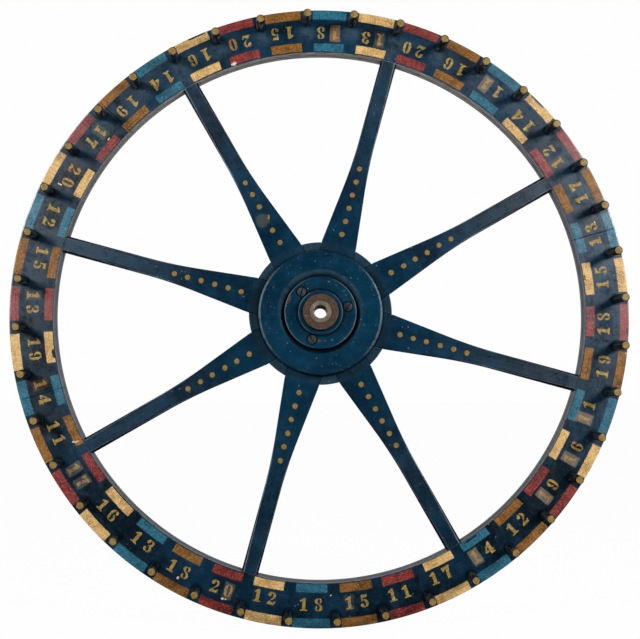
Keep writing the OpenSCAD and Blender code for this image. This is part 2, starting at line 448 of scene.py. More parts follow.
def showsBackground(start):
    # 1 where the white background itself is seen, directly or in a reflection
    sight = start.node("ShaderNodeLightPath", out="Is Camera Ray")
    return sight, sight.most(sight.other("Is Glossy Ray"), sight.other("Is Transmission Ray"))


room = dict(front=0.005, back=1.0, fillFront=0.05, fillBack=0.55, white=0.99)


def makeRoom():
    # white behind the wheel, dim in front of it, and white wherever the camera looks past it
    world = bpy.data.worlds.new("studio")
    scene.world = world
    world.use_nodes = True
    world.node_tree.nodes.clear()
    start = Wire(world.node_tree)
    heading = start.node("ShaderNodeTexCoord", out="Generated").split()[1]
    camera, shown = showsBackground(start)
    behind = heading.ease(-0.1, 0.6)
    mirrored = room["front"] + behind * (room["back"] - room["front"])
    filling = room["fillFront"] + behind * (room["fillBack"] - room["fillFront"])
    level = filling + shown * (mirrored - filling)
    level = level + camera * (room["white"] - level)
    sky = start.node("ShaderNodeBackground", {}, {"Color": (1, 1, 1, 1), "Strength": level})
    start.node("ShaderNodeOutputWorld", {}, {"Surface": sky})


floor = dict(size=40, gap=0.0003, tone="#f4f4f2", white=0.975, mirrored=0.02)


def makeFloor():
    piece = addShape("plane", size=floor["size"], location=(0, 0, cadLow.z - floor["gap"]))
    piece.name = "floor"
    material, place = startMaterial("paleFloor")
    camera, shown = showsBackground(place)
    matt = place.node("ShaderNodeBsdfDiffuse", {}, {"Color": tint(floor["tone"])})
    glow = place.node("ShaderNodeEmission", {}, {
        "Color": (1, 1, 1, 1), "Strength": camera.most(shown * floor["mirrored"])})
    both = place.node("ShaderNodeMixShader", {}, {0: shown * floor["white"], 1: matt, 2: glow})
    place.node("ShaderNodeOutputMaterial", {}, {"Surface": both})
    piece.data.materials.append(material)


makeRoom()
makeFloor()
print("camera, light and floor are in place")


# Paint

# the near-black tone serves both for grime and for painted shade
navyTones = dict(rim=("#02121c", "#042c43"), spoke=("#011a2b", "#022b41"), hub=("#012336", "#023046"),
                 iron=("#012438", "#02334a"), peg=("#03090d", "#06131a"), haze="#0b3d5a", grimeAndShade="#03080b",
                 pale="#8d958c", wood="#3d332a", rough=(0.32, 0.4), coat=0.335,
                 shine=dict(rim=1.1, spoke=1.35, hub=0.15, iron=0.18, peg=0.25))


def navyCoat(place, grain, tones):
    # old gloss paint: cloudy tone, haze, brush streaks and pin-prick chips
    deep, clear = (tint(code) for code in navyTones[tones])
    patchy = place.noise(45, 5, 0.65)
    streaks = grain.noise(1.0, 6, 0.7)
    specks = place.noise(270, 3, 0.7)
    colour = place.noise(8, 4, 0.6).ease(0.35, 0.65).mix(deep, clear)
    colour = (patchy.ease(0.45, 0.75) * 0.5).over(colour, "haze")
    colour = (streaks.ease(0.52, 0.72) * 0.35).over(colour, "grimeAndShade")
    colour = (specks.ease(0.56, 0.74) * 0.4).over(colour, "haze")
    chips = place.cells(110).ease(0.12, 0.06) * place.noise(50, 2).ease(0.54, 0.6)
    colour = (chips * 0.6).over(colour, "pale")
    low, high = navyTones["rough"]
    rough = low + (high - low) * patchy
    height = streaks * 0.6 + specks * 0.4 - chips * 0.4
    scuffs = 0.3 + streaks.ease(0.62, 0.42) * 0.35 + place.noise(480, 3, 0.7).ease(0.35, 0.65) * 0.45
    scuffs = scuffs + place.noise(130, 4, 0.7).ease(0.4, 0.6) * 0.5
    kept = 0.35 + place.split()[2].ease(-0.36, -0.08) * 0.65  # varnish has worn thin low on the wheel
    shine = kept * navyTones["shine"][tones]
    gloss = ((0.05 + scuffs * (0.35 + patchy.ease(0.3, 0.7) * 0.9)) * shine).least(1.0)
    return colour, rough, height, gloss


def wornEdge(place, colour, amount):
    # paint rubbed to the wood where edges were handled
    edge = place.attribute("edge")
    rub = (edge * 0.55 + place.noise(90, 4, 0.65) * 0.9 - 1.02 + amount).ease(0.0, 0.16)
    return rub.over(colour, "wood"), rub


bars = dict(
    half=(0.374, 0.368),  # share of a place on each side of its middle, outer and inner bar
    outer=0.4432, inner=(0.3938, 0.4058), wrap=0.0022, soft=0.0005,
    slip=0.03, waver=0.0016, outerSlip=0.0012, innerSlips=(0.0008, 0.0018),  # slips of the brush
    tones=("#7d241d", "#cfa662", "#185d76", "#835520"),
    dark=("#430f0c", "#946b35", "#0f3c4b", "#4d2e0c"),
    light=("#b3584e", "#ecd3a2", "#4c8896", "#ac7f41"),
    sheen=("#ffffff", "#b5b5b5", "#f4f4f4", "#a5a5a5"),  # share of the varnish left on each colour
)


def rampOf(place, index, codes):
    stops = [(i / len(codes), tint(code)) for i, code in enumerate(codes)]
    return place.node("ShaderNodeValToRGB", {"interpolation": "CONSTANT", "stops": stops}, {"Fac": index})


def rimPaint():
    # navy rim with two hand-painted bars in every place
    material, place = startMaterial("rimPaint")
    x, y, z, radius, angle = polar(place)
    turn = angle - restTurn
    seat = (turn / placeAngle) % places
    number = seat.floor()
    share = seat - number - 0.5
    grain = place.vector(radius * 320, turn * 12, y * 320)
    colour, rough, height, gloss = navyCoat(place, grain, "rim")

    chanceA, chanceB, chanceC = (number + 0.5).chance()
    chanceD, chanceE, chanceF = (number + 60.5).chance()
    wobble = place.noise(150, 3) - 0.5
    arc = placeAngle * radius

    def barEdge(half, low, high, slide, widen):
        side = (half - abs(share + (slide - 0.5) * bars["slip"]) + (widen - 0.6) * bars["slip"]) * arc
        return side.least(radius - low, high - radius) + wobble * bars["waver"]

    frontal = faceY + bars["wrap"] - y
    outerHalf, innerHalf = bars["half"]
    low = bars["outer"] + (chanceC - 0.5) * bars["outerSlip"]
    outerBar = barEdge(outerHalf, low, rimRadius + 0.01, chanceA, chanceB).least(frontal + wobble * 0.001)
    low, high = (edge + chanceF * slip for edge, slip in zip(bars["inner"], bars["innerSlips"]))
    innerBar = barEdge(innerHalf, low, high, chanceD, chanceE)
    bar = outerBar.most(innerBar.least(frontal)).ease(-bars["soft"], bars["soft"])

    index = (number % 4 + 0.5) / 4
    tone, dark, light = (rampOf(place, index, bars[name]) for name in ("tones", "dark", "light"))
    shade = place.noise(60, 5, 0.65)
    flecks = place.noise(430, 4, 0.75)
    hairs = place.vector(turn * 330, radius * 26, 3.0).noise(1.0, 4, 0.65)
    strokes = place.vector(radius * 420, turn * 8, 5.0).noise(1.0, 4, 0.65)
    cracks = place.cells(150, "DISTANCE_TO_EDGE").ease(0.09, 0.01)
    paint = (shade.ease(0.42, 0.7) * 0.75).mix(tone, dark)
    paint = (flecks.ease(0.5, 0.6) * 0.75).mix(paint, light)
    paint = (hairs.most(strokes).ease(0.56, 0.66) * 0.6).mix(paint, dark)
    paint = (cracks * shade.ease(0.4, 0.62) * 0.5).mix(paint, dark)
    rubbedAndHighlit = (place.noise(85, 5, 0.7) + place.attribute("gone") * 0.5).ease(0.72, 0.76)
    bar = bar * (1 - rubbedAndHighlit)
    colour = bar.mix(colour, paint)
    rough = rough + bar * 0.12

    patch = place.attribute("patch", "Color")
    cover = place.ragged("patch", 120, 1.1, 0.205, 0.855, out="Alpha")
    colour = (cover * 0.85).mix(colour, patch)
    rough = rough + cover * 0.15

    # the inside wall is rubbed grey, painted paler towards the top as painted light, with the glue line
    # between the layers
    wall = radius.ease(rim["inner"] + 0.001, rim["inner"] + 0.0002)
    stripes = place.vector(turn * 16, y * 520, 1.0).noise(1.0, 5, 0.7)
    wallGreyWithPaintedLight = z.ease(0.05, 0.4).mix(tint("#726e70"), tint("#b9b3ad"))
    colour = (wall * stripes.ease(0.3, 0.6) * 0.75).mix(colour, wallGreyWithPaintedLight)
    rough = rough + wall * 0.3
    colour = (wall * abs(y).ease(0.0012, 0.0004) * 0.8).over(colour, "grimeAndShade")

    gap = (0.5 - abs(share)) * arc
    fromPeg = (radius - pegs["pitch"]).far(gap)
    front = y.ease(faceY + 0.004, faceY + 0.002)
    # soot round each peg's foot, widened into painted shade round the peg
    sootAndPaintedShade = (fromPeg + wobble * 0.004).ease(0.0115, 0.006) * front
    # painted light as a pale patch below the top pegs, and dust where the spokes meet the face
    below = (radius - pegs["pitch"] + pegs["lightPatchDrop"]).far(gap)
    paintedLightBelowPeg = (below + wobble * 0.01).ease(0.02, 0.004) * z.ease(0.2, 0.42)
    lap = abs((seat + 2.5) % 5 - 2.5) * arc
    onLap = lap.ease(rim["lap"] + 0.0008, rim["lap"] - 0.0004)
    dustAndPaintedLight = paintedLightBelowPeg.most(onLap * radius.ease(*rim["lapDust"]) * z.ease(-0.1, 0.3) * 0.7)
    dustAndPaintedLight = dustAndPaintedLight * place.noise(75, 4, 0.65).ease(0.3, 0.65)
    colour = (dustAndPaintedLight * front * (1 - bar) * (1 - wall) * 0.6).over(colour, "#40515c")
    # soot and painted shade darken the face round the pegs
    colour = (sootAndPaintedShade * 0.6).over(colour, "grimeAndShade")

    colour, rub = wornEdge(place, colour, 0.0)
    # painted highlight along the inner arris, weaker towards the top
    paintedEdgeHighlight = place.ragged("edge", 120, 0.8, 0.75, 1.0)
    paintedEdgeHighlight = paintedEdgeHighlight * radius.ease(rim["inner"] + 0.003, rim["inner"] + 0.002) * (1 - onLap)
    colour = (paintedEdgeHighlight * (0.6 - z.ease(0.1, 0.35) * 0.5)).over(colour, "#767b80")
    pale = place.ragged("pale", 260, 0.8, 0.5, 0.62, detail=3)
    colour = pale.over(colour, "#cdbda4")
    rough = rough + (rub + pale) * 0.15
    height = height + bar * 0.25 - rub * 0.5 - pale * 0.4
    thin = abs(x).ease(0.22, 0.03) * z.ease(0.1, 0.3)  # the varnish is thin at the top too
    gloss = gloss * (1 - wall.most(cover, sootAndPaintedShade, thin * 0.6) * 0.8) * (1 - rub.most(pale) * 0.7)
    gloss = gloss * (1 + bar * (rampOf(place, index, bars["sheen"]).split()[0] * 1.35 - 1))
    finishMaterial(place, colour, rough, height, 0.00018, gloss=gloss)
    return material


# Rim and pegs

pegs = dict(pitch=0.4390, radius=0.00635, sunk=0.001, end=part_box("pegs")[0].y, bevel=0.0009, sides=20,
            dome=0.0003, insets=(0.12, 0.4), lean=0.6, drift=(0.0018, -0.0008), lightPatchDrop=0.016,
            ends="#80642c", worn="#9c814d", dark="#443114", scuffed="#685f58")
rim = dict(inner=0.3917, felloes=6, jointTurn=46.4, glue=0.0002, arris=0.0012, crack=0.0006, lap=0.0124,
           lapDust=(0.432, 0.405),  # dust at the spoke ends thins out between these radii
           mesh=dict(front=(32, 200), rear=(8, 100)))  # columns across and steps round each felloe


def makeFelloe(layer):
    # one layer's section is spun round the axle, with a close mesh on the face for its wear
    outY = faceY if layer == "front" else backY  # the layer's open face, away from the joint
    columns, steps = rim["mesh"][layer]
    piece = edit(addShape("plane", (rimRadius - rim["inner"], abs(outY), 1), size=1,
                          location=((rimRadius + rim["inner"]) / 2, outY / 2, 0)))
    bpy.ops.mesh.delete(type="ONLY_FACE")
    pick(piece, "edges", lambda e: atDepth(e, outY))
    bpy.ops.mesh.subdivide(number_cuts=columns - 1)
    bpy.ops.mesh.select_mode(type="VERT")
    pickAll()
    sweep = 2 * math.pi / rim["felloes"] - rim["glue"] / rimRadius
    bpy.ops.mesh.spin(steps=steps, angle=sweep, center=(0, 0, 0), axis=(0, -1, 0))
    fillEnds(piece, lambda p: near(math.atan2(p.z, p.x), 0, 1e-4),
             lambda p: near(abs(math.atan2(p.z, p.x)), sweep, 1e-4))
    faceOut()
    for radius in (rim["inner"], rimRadius):
        bevelEdges(piece, rim["arris"], 2, lambda e: onRing(e, radius, outY), "edge")
        bevelEdges(piece, rim["crack"], 1, lambda e: onRing(e, radius, 0.0))
    # only the end faces have this many corners
    bevelEdges(piece, rim["crack"], 1, lambda e: sum(len(f.verts) > 8 for f in e.link_faces) == 1)
    return tidyMesh(piece)


fadedHalf = (0.0075, 0.0118)  # half width and half height of the patch round a faded digit
fadedTones = dict(tan="#7d6044", dustAndPaintedLight="#5c574d", putty="#736b5e", brown="#4f3a21", moss="#4b5448",
                  slate="#545653")

# Faded digits: place, first or second digit, tone and strength
fadedDigits = (
    (0, 0, "dustAndPaintedLight", 0.7), (2, 1, "putty", 1.0), (5, 0, "dustAndPaintedLight", 0.6), (6, 0, "tan", 0.9), (8, 1, "brown", 0.35),
    (12, 0, "moss", 0.9), (13, 0, "brown", 0.7), (16, 0, "dustAndPaintedLight", 0.6), (18, 0, "brown", 0.7),
    (20, 0, "slate", 0.8), (20, 1, "slate", 0.8), (24, 1, "dustAndPaintedLight", 0.6), (27, 0, "dustAndPaintedLight", 0.4),
    (30, 0, "putty", 0.8), (32, 0, "putty", 0.9), (33, 0, "putty", 0.9), (34, 0, "putty", 0.9),
)

# Chips and scratches: place, share of the place, radius, length along the rim and across it
paleChips = (
    (24, -0.06, 0.4336, 0.0015, 0.0012), (24, 0.08, 0.4378, 0.0022, 0.0014),
    (24, 0.15, 0.4374, 0.0020, 0.0013), (23, 0.05, 0.4362, 0.0020, 0.0022),
    (19, 0.30, 0.4015, 0.0008, 0.0040), (19, 0.255, 0.4064, 0.0018, 0.0020),
    (8, 0.31, 0.3960, 0.0046, 0.0022), (13, 0.26, 0.4310, 0.0015, 0.0036),
    (12, -0.2, 0.4080, 0.0028, 0.0005), (28, -0.25, 0.4310, 0.0014, 0.0011),
    (38, -0.22, 0.4270, 0.0016, 0.0012), (38, 0.24, 0.4300, 0.0018, 0.0010),
    (35, 0.36, 0.4550, 0.0016, 0.0014), (26, 0.42, 0.4105, 0.0012, 0.0012),
)
bareChips = (
    (17, 0.14, 0.3955, 0.0065, 0.0024), (1, 0.1, 0.4560, 0.0120, 0.0015),
    (9, -0.15, 0.4560, 0.0140, 0.0016), (30, -0.1, 0.3960, 0.0090, 0.0012),
    (37, 0.05, 0.3960, 0.0040, 0.0010), (36, -0.2, 0.4560, 0.0060, 0.0014),
)


def paintFace(piece):
    # lays faded digits and chips on the close mesh of a felloe's face
    mesh = piece.data
    kinds = dict(patch="FLOAT_COLOR", pale="FLOAT", gone="FLOAT")
    for name, kind in kinds.items():
        mesh.attributes.new(name, kind, "POINT")
    patch, pale, gone = (mesh.attributes[name] for name in kinds)
    for i, v in enumerate(mesh.vertices):
        patch.data[i].color = (0.1, 0.1, 0.1, 0.0)
        if v.co.y >= faceY + rim["arris"]:
            continue
        radius = axisRadius(v.co)
        arc = placeAngle * radius
        seat = (math.atan2(v.co.z, v.co.x) - restTurn) / placeAngle % places
        number = int(seat)
        share = seat - number - 0.5
        best = 0
        for spot, digit, tone, strength in fadedDigits:
            if spot == number:
                aside = share * arc - (digit * 2 - 1) * numbers["spread"] - numbers["slides"][spot] / 1000
                high = radius - numbers["radius"] - numbers["drops"][spot] / 1000
                out = max(abs(aside) / fadedHalf[0], abs(high) / fadedHalf[1])
                alpha = strength * clamp((1.2 - out) / 0.25)
                if alpha > best:
                    best = alpha
                    patch.data[i].color = tint(fadedTones[tone], alpha)
        for layer, chips in ((pale, paleChips), (gone, bareChips)):
            for spot, middle, high, length, width in chips:
                if spot == number:
                    far = math.hypot((share - middle) * arc / length, (radius - high) / width)
                    layer.data[i].value = max(layer.data[i].value, clamp(1.6 - far))


def makeRim():
    paint = rimPaint()
    for layer, shift in (("front", 0), ("rear", 0.5)):
        first = makeFelloe(layer)
        for i in range(rim["felloes"]):
            piece = copyTurned(first, rim["jointTurn"] + (i + shift) * 360 / rim["felloes"])
            paintFace(piece)
            dress(piece, f"{layer}Felloe{i + 1}", paint, f"{layer}_felloe_{i + 1}")
        bpy.data.objects.remove(first)


def pegPaint():
    # dark painted sides and an ochre end
    material, place = startMaterial("pegPaint")
    x, y, z = place.split()
    colour, rough, height, gloss = navyCoat(place, place.vector(x * 400, y * 60, z * 400), "peg")
    tip = place.attribute("tip")
    spot = place.noise(260, 4, 0.65)
    ochre = spot.ease(0.35, 0.7).mix(tint(pegs["ends"]), tint(pegs["worn"]))
    ochre = (place.noise(620, 3, 0.7).ease(0.52, 0.72) * 0.7).mix(ochre, tint(pegs["dark"]))
    bare = (tip + (spot - 0.5) * 0.8).ease(0.45, 0.6)
    scuff = place.vector(x * 220, y * 45, z * 220).noise(1.0, 4, 0.7).ease(0.48, 0.66)
    colour = (scuff * (0.35 + z.ease(0.2, 0.4) * 0.45)).mix(colour, tint(pegs["scuffed"]))
    colour = bare.mix(colour, ochre)
    finishMaterial(place, colour, rough + bare * 0.1, height, 0.00015, gloss=gloss * (0.6 - bare * 0.3))
    return material


def makePegs():
    start = faceY + pegs["sunk"]
    end = pegs["end"]
    first = startDisc((pegs["pitch"], start, 0), pegs["radius"], pegs["sides"])
    pull(0, end - start, 0)
    bevelEdges(first, pegs["bevel"], 2, lambda e: atDepth(e, end))
    pick(first, "faces", lambda f: near(f.calc_center_median().y, end))
    outerInset, innerInset = pegs["insets"]
    bpy.ops.mesh.inset(thickness=pegs["radius"] * outerInset)
    bpy.ops.transform.translate(value=(0, -pegs["dome"], 0))
    bpy.ops.mesh.inset(thickness=pegs["radius"] * innerInset)
    pick(first, "verts", lambda v: v.co.y < end - pegs["dome"] / 2)
    markPicked(first, "tip")
    tidyMesh(first)
    foot = Matrix.Translation((pegs["pitch"], faceY, 0))
    copies = []
    for k in range(places):
        leans = [Matrix.Rotation(math.radians(dice.uniform(-1, 1) * pegs["lean"]), 4, axis) for axis in "XZ"]
        spin = Matrix.Rotation(dice.uniform(0, 6), 4, "Y")
        turn = Matrix.Rotation(-restTurn - k * placeAngle, 4, "Y")
        tip = turn.inverted() @ Vector((pegs["drift"][0], end - faceY, pegs["drift"][1]))
        drift = Vector((0, -1, 0)).rotation_difference(tip).to_matrix().to_4x4()
        copies.append(copyPiece(first, turn @ foot @ drift @ leans[0] @ leans[1] @ spin @ foot.inverted()))
    bpy.data.objects.remove(first)
    dress(joinAll(copies), "pegsPainted", pegPaint(), "pegs")


makePegs()
print("pegs are in")


# Numbers: one outline list for each stencil digit, a third value marks a smooth point

numbers = dict(
    radius=0.4218, height=0.0181, widen=1.05, spread=0.0105, sunk=0.0001, proud=0.00012, lean=2.5,
    jitter=0.0006, bold=0.0001, middle=(0.33, 0.5), tones=("#8f7026", "#c0a55a", "#4d3b13"),
    order=(12, 14, 11, 16, 20, 13, 18, 15, 20, 16, 14, 19, 17, 20, 12, 15, 13, 19, 14, 11,
           17, 16, 13, 18, 20, 12, 18, 15, 11, 17, 14, 12, 19, 16, 11, 19, 18, 15, 13, 17),
    # how far each number was set off its place, in mm along the rim and outwards
    slides=(-2, 1, 4, 1, 2, 0, 1, 3, 2, 0, -2, -2, -3, -1, -2, -3, -3, 0, -4, -6,
            -3, -3, 0, -1, 0, -3, -1, -1, -4, -5, -3, -2, -1, -1, -4, 0, -3, 0, -1, -1),
    drops=(-2, -3, 3, 0, -1, -1, 0, 3, 2, 3, -1, 0, 3, 0, 1, -2, 1, 1, 1, 1,
           3, 0, -1, 3, 3, -2, 1, 1, 1, -2, -1, -1, 1, 2, -4, 3, -2, -1, 1, 4),
)
hook = [(.28, 1), (.12, .96, 1), (.04, .80, 1), (.07, .68, 1), (.17, .66, 1), (.25, .76, 1), (.28, .90)]
bowl = [(.29, 1), (.12, .91, 1), (.03, .50, 1), (.12, .09, 1), (.29, 0), (.29, .10), (.245, .20, 1),
        (.225, .50, 1), (.245, .80, 1), (.29, .90)]
spine = [(.30, 1), (.13, .95, 1), (.05, .80, 1), (.09, .65, 1), (.23, .53, 1), (.37, .42, 1), (.43, .28, 1),
         (.40, .14, 1), (.34, .08), (.34, 0), (.52, .05, 1), (.62, .20, 1), (.59, .37, 1), (.47, .50, 1),
         (.31, .62, 1), (.24, .75, 1), (.25, .87, 1), (.30, .92)]
cheek = [(.37, 1), (.51, .96, 1), (.58, .82, 1), (.55, .69, 1), (.48, .61), (.42, .66), (.44, .78, 1),
         (.42, .88, 1), (.37, .92)]


def mirrored(outline, across=None, up=None):
    return [(across * 2 - p[0] if across else p[0], up * 2 - p[1] if up else p[1]) + p[2:] for p in outline]


sixParts = [
    bowl,
    [(.36, .60), (.53, .54, 1), (.63, .30, 1), (.54, .07, 1), (.36, 0), (.36, .09), (.42, .16, 1),
     (.44, .30, 1), (.42, .44, 1), (.36, .50)],
    [(.36, 1), (.52, .96, 1), (.61, .82, 1), (.57, .69, 1), (.46, .69, 1), (.40, .80, 1), (.36, .90)],
]
digitOutlines = {
    "0": [bowl, mirrored(bowl, across=.325)],
    "1": [[(.06, 0), (.60, 0), (.60, .09), (.46, .12), (.46, 1), (.30, 1), (.04, .80), (.04, .72), (.22, .76),
           (.22, .12), (.06, .09)]],
    "2": [[(.36, 1), (.53, .94, 1), (.62, .75, 1), (.55, .56, 1), (.40, .42), (.24, .28), (.36, .46, 1),
           (.43, .60, 1), (.44, .76, 1), (.36, .90)],
          [(.30, 1), (.30, .90), (.27, .74, 1), (.15, .64, 1), (.04, .72, 1), (.06, .86, 1), (.16, .97, 1)],
          [(.03, 0), (.60, 0), (.66, .30), (.58, .30), (.52, .21, 1), (.30, .23, 1), (.20, .29), (.03, .09)]],
    "3": [[(.34, 1), (.52, .94, 1), (.60, .77, 1), (.55, .61, 1), (.45, .53), (.58, .44, 1), (.64, .26, 1),
           (.54, .07, 1), (.34, 0), (.34, .09), (.42, .14, 1), (.44, .26, 1), (.41, .40, 1), (.34, .46),
           (.24, .48), (.24, .56), (.34, .57), (.40, .65, 1), (.42, .77, 1), (.40, .87, 1), (.34, .92)],
          hook, mirrored(hook, up=.5)],
    "4": [[(.38, 0), (.74, 0), (.74, .10), (.64, .12), (.64, .22), (.74, .22), (.74, .34), (.64, .34),
           (.64, 1), (.52, 1), (.38, .82), (.38, .12)],
          [(.01, .21), (.33, .21), (.33, .34), (.17, .34), (.33, .64), (.33, .80), (.01, .31)]],
    "5": [[(.12, 1), (.57, 1), (.51, .79), (.24, .79), (.24, .58), (.12, .47)],
          [(.30, .63), (.50, .57, 1), (.62, .32, 1), (.52, .08, 1), (.34, 0), (.34, .09), (.42, .17, 1),
           (.43, .32, 1), (.40, .47, 1), (.30, .52)],
          [(.28, 0), (.28, .09), (.25, .22, 1), (.15, .31, 1), (.04, .26, 1), (.05, .12, 1), (.15, .03, 1)]],
    "6": sixParts,
    "7": [[(.02, .64), (.02, 1), (.12, 1), (.18, .96), (.65, 1), (.65, .86), (.57, .77), (.28, .79),
           (.12, .64)],
          [(.31, .73), (.56, .73), (.46, .40, 1), (.49, 0), (.19, 0), (.23, .32, 1)]],
    "8": [spine, cheek, mirrored(cheek, across=.32, up=.5)],
    "9": [mirrored(part, across=.32, up=.5) for part in sixParts],
}


def makeDigit(digit):
    # a flat curve with the thickness of the paint, made a mesh
    curve = bpy.data.curves.new("digit" + digit, "CURVE")
    curve.dimensions = "2D"
    curve.fill_mode = "BOTH"
    curve.resolution_u = 5
    for outline in digitOutlines[digit]:
        spline = curve.splines.new("BEZIER")
        spline.bezier_points.add(len(outline) - 1)
        spline.use_cyclic_u = True
        for point, spot in zip(spline.bezier_points, outline):
            point.co = (spot[0] * numbers["height"] * numbers["widen"], spot[1] * numbers["height"], 0)
            point.handle_left_type = point.handle_right_type = "AUTO" if len(spot) > 2 else "VECTOR"
    curve.offset = numbers["bold"]
    curve.extrude = (numbers["sunk"] + numbers["proud"]) / 2
    piece = bpy.data.objects.new("digit" + digit, curve)
    scene.collection.objects.link(piece)
    choose(piece)
    bpy.ops.object.convert(target="MESH")
    return tidyMesh(edit(piece))


def numberPaint():
    # old gold stencil paint, thin where the digit has faded
    material, place = startMaterial("numberPaint")
    fade = place.attribute("fade")
    gold, bright, dark = (tint(code) for code in numbers["tones"])
    tone = place.noise(240, 4, 0.65)
    colour = tone.ease(0.4, 0.75).mix(gold, bright)
    colour = (place.noise(90, 4, 0.65).ease(0.5, 0.7) * 0.45).mix(colour, dark)
    colour = (place.noise(520, 3, 0.7).ease(0.52, 0.7) * 0.6).mix(colour, dark)
    colour = (fade * 0.8).over(colour, "#a07a52")
    lost = (place.noise(300, 4, 0.7) + fade * 0.06).ease(0.57, 0.68)
    colour = (lost * 0.85).mix(colour, tint(navyTones["rim"][1]))
    finishMaterial(place, colour, 0.5 + lost * 0.1, tone, 0.0001)
    return material


def makeNumbers():
    models = {digit: makeDigit(digit) for digit in digitOutlines}
    faded = {(place, digit): strength for place, digit, tone, strength in fadedDigits}
    level = faceY + (numbers["sunk"] - numbers["proud"]) / 2
    right, up = numbers["middle"]
    centre = Matrix.Translation(Vector((-right * numbers["widen"], -up, 0)) * numbers["height"])
    copies = []
    for k, number in enumerate(numbers["order"]):
        drop, slide = numbers["drops"][k] / 1000, numbers["slides"][k] / 1000
        for i, digit in enumerate(str(number)):
            aside = (2 * i - 1) * numbers["spread"] + slide + dice.uniform(-1, 1) * numbers["jitter"]
            high = numbers["radius"] + drop + dice.uniform(-1, 1) * numbers["jitter"]
            lean = Matrix.Rotation(math.radians(dice.uniform(-1, 1) * numbers["lean"]), 4, "Z")
            degrees = 360 / places * (k + 0.5) + math.degrees(aside / numbers["radius"])
            angle = math.radians(degrees) + restTurn
            tangent = (-math.sin(angle), 0, math.cos(angle))
            inward = (-math.cos(angle), 0, -math.sin(angle))
            turn = Matrix((tangent, inward, (0, -1, 0))).transposed().to_4x4()
            spot = Matrix.Translation(onWheel(high, degrees, level))
            copy = copyPiece(models[digit], spot @ turn @ lean @ centre)
            fade = copy.data.attributes.new("fade", "FLOAT", "POINT")
            for vertex in fade.data:
                vertex.value = faded.get((k, i), 0.0)
            copies.append(copy)
    for piece in models.values():
        bpy.data.objects.remove(piece)
    dress(joinAll(copies), "stencilNumbers", numberPaint())


makeRim()
print("rim is spun and painted")
makeNumbers()
print("numbers are stencilled")


# Hub wood sizes, which the spokes' painted shade at the disc's foot needs too

hub = dict(sides=128, hole=0.0243, discRadius=0.091, discFront=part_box("front_hub_disc")[0].y, edge=0.003,
           recess=0.056, recessY=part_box("front_hub_disc")[0].y + 0.008, lip=0.006,
           rearRadius=0.090, rearBack=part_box("rear_hub_disc")[1].y,
           edgeHighlightFrom=(0.08, 0.085),  # radii between which the painted highlight on the edge comes in
           # pale specks: radius, degrees, half length and half width
           specks=((0.0930, 129, 0.0014, 0.0012), (0.0675, 49, 0.0016, 0.0010),
                   (0.0600, -10, 0.0009, 0.0012), (0.0670, -95, 0.0016, 0.0010),
                   (0.0760, 96, 0.0012, 0.0008), (0.0720, -128, 0.0012, 0.0009)))

# Spokes

spokes = dict(count=8, start=0.028, hubRing=0.1055, end=0.3915, back=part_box("spoke_1")[1].y,
              root=0.026, thin=0.0122, flareEnd=0.229, blend=0.040, bevel=0.0036, arris=0.0007,
              columns=10, rootStep=0.012, rootEnd=0.08, flareStep=0.005, glue=0.0002,
              # radii where painted bevel shade, the painted ridge highlight, the end's darkening and the
              # varnish come in
              flankShadeFrom=(0.25, 0.3), ridgeHighlightFrom=(0.2, 0.26), endDarkening=(0.3875, 0.3915), glossFrom=(0.12, 0.34))
spokeStep = 2 * math.pi / spokes["count"]


def spokeHalf(radius):
    # half width: parallel in the hub, a straight flare, eased into the thin spoke
    slope = (spokes["root"] - spokes["thin"]) / (spokes["flareEnd"] - spokes["hubRing"])
    easeStart = spokes["flareEnd"] - spokes["blend"]
    if radius <= spokes["hubRing"]:
        return spokes["root"]
    if radius <= easeStart:
        return spokes["root"] - slope * (radius - spokes["hubRing"])
    t = min((radius - easeStart) / (2 * spokes["blend"]), 1)
    return spokes["thin"] + (1 - t) ** 2 * slope * spokes["blend"]


def spokeBevel(radius):
    start = spokes["flareEnd"] + spokes["blend"]
    t = clamp((radius - start) / (spokes["end"] - start))
    return spokes["arris"] + (spokes["bevel"] - spokes["arris"]) * t


